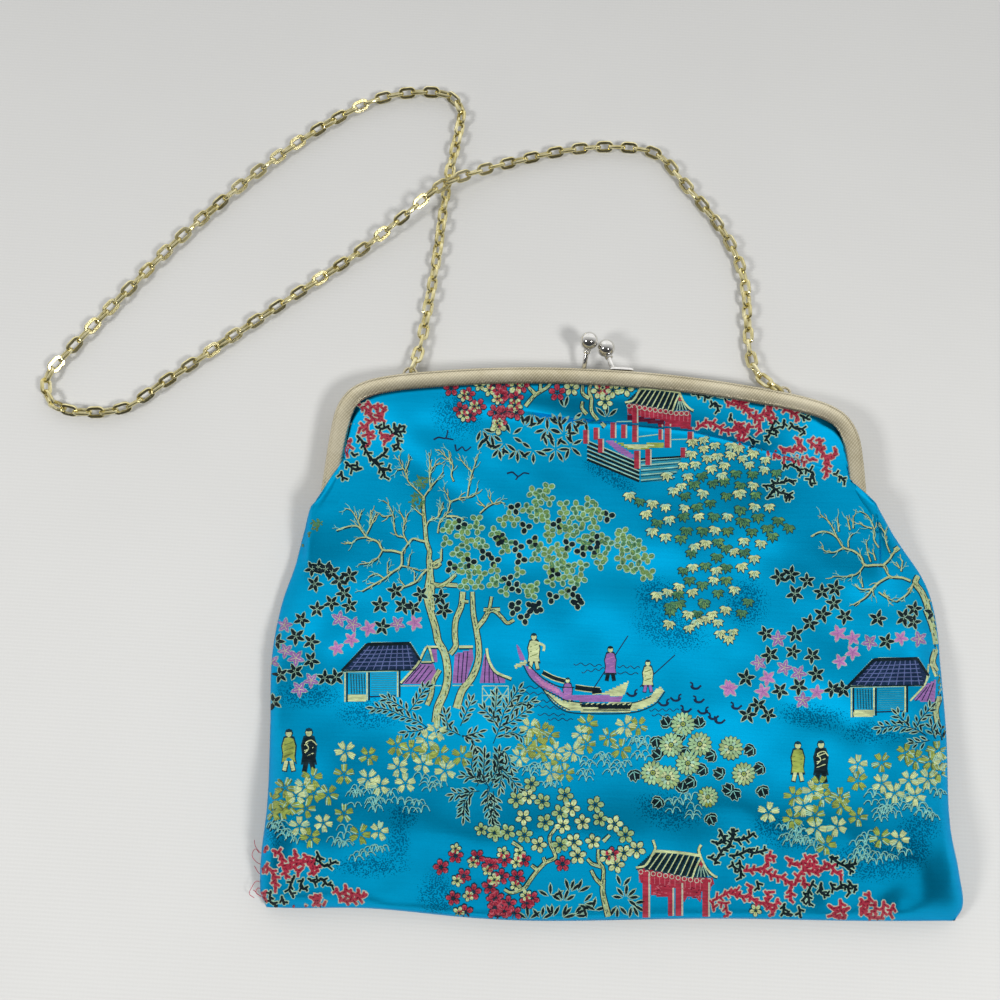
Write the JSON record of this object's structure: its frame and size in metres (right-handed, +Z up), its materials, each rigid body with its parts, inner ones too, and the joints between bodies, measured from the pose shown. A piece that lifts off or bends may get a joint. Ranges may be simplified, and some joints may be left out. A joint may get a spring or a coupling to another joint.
{
  "type": "purse",
  "caption": "Soft brocade purse on an arched metal channel frame with a ball clasp and a cable-chain handle, lying on its back with the chain laid loose beside it.",
  "frame": {"origin": "on the flat underside of the bag, which rests on the table, below the middle of the bag on the frame's centre line", "axes": "+X to the right seen from the front of the bag, +Y from the bottom seam to the frame and clasp, +Z up from the table, out of the front of the bag"},
  "size_m": [0.3241, 0.3054, 0.0218],
  "materials": {
    "brocade": "satin brocade",
    "frame_gold": "fine engraved, satin",
    "nickel": "polished",
    "chain_gold": "polished"
  },
  "bodies": {
    "root": {"bag_body": "brocade", "frame_front": "frame_gold", "frame_back": "frame_gold", "hinge_left": "frame_gold", "hinge_right": "frame_gold", "clasp_front": "nickel", "clasp_back": "nickel", "chain_run_1": "chain_gold", "chain_run_2": "chain_gold", "chain_run_3": "chain_gold", "chain_run_4": "chain_gold", "chain_run_5": "chain_gold", "chain_run_6": "chain_gold"}
  },
  "joints": []
}
